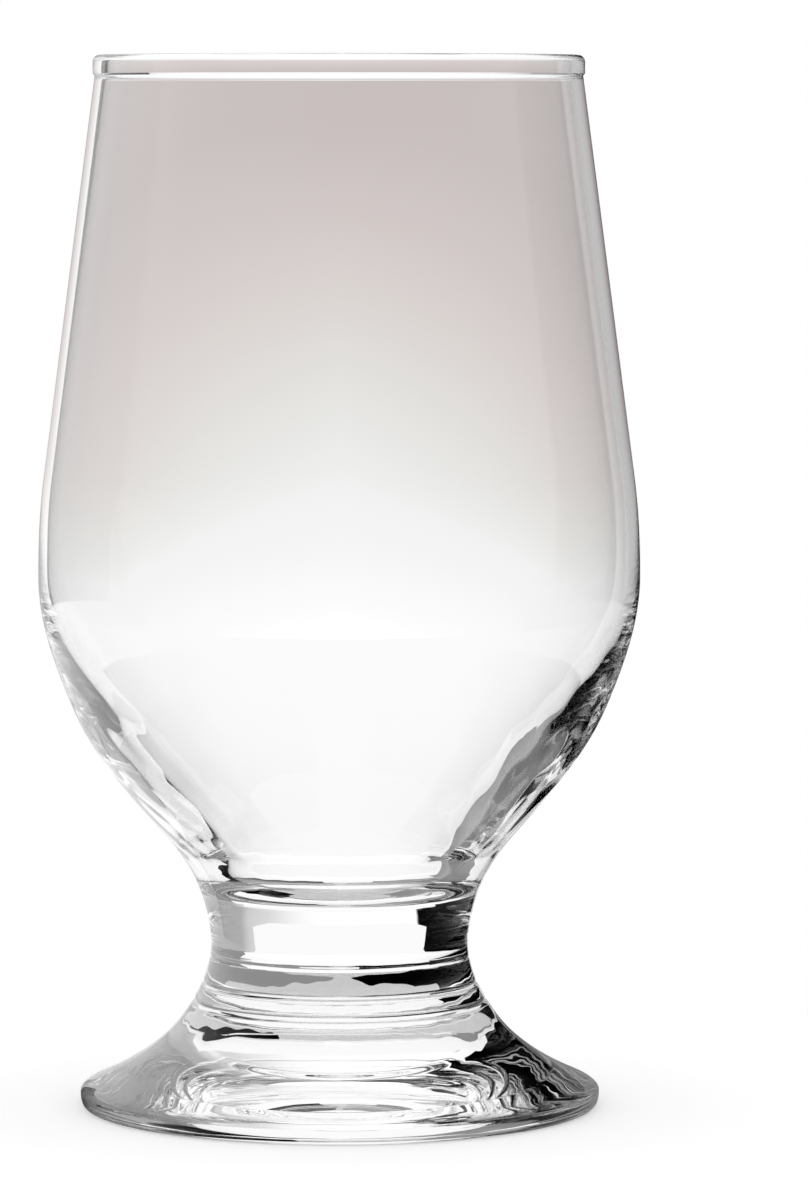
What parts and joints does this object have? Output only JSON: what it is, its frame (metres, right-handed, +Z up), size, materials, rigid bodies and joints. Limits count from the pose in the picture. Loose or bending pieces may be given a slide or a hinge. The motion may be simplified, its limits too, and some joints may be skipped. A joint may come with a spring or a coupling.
{
  "type": "stemmed beer glass",
  "caption": "Clear footed beer glass: tulip bowl with a rounded rim bead, short solid waisted stem, two-ring collar and a flared bell foot that stands flat.",
  "frame": {"origin": "centre of the contact ring under the foot, on the surface that the glass stands on", "axes": "+Z up along the glass's axis of revolution, from the foot to the rim; X and Y are any two square directions across it, because the glass is round"},
  "size_m": [0.08, 0.08, 0.14],
  "materials": {
    "bowl_glass": "fire-polished, colourless and clear",
    "stem_glass": "polished, colourless and clear, a few small seeds",
    "collar_glass": "pressed, colourless and clear",
    "foot_glass": "pressed, colourless and clear, slightly wavy"
  },
  "bodies": {
    "root": {"bowl": "bowl_glass", "stem": "stem_glass", "collar": "collar_glass", "foot": "foot_glass"}
  },
  "joints": []
}
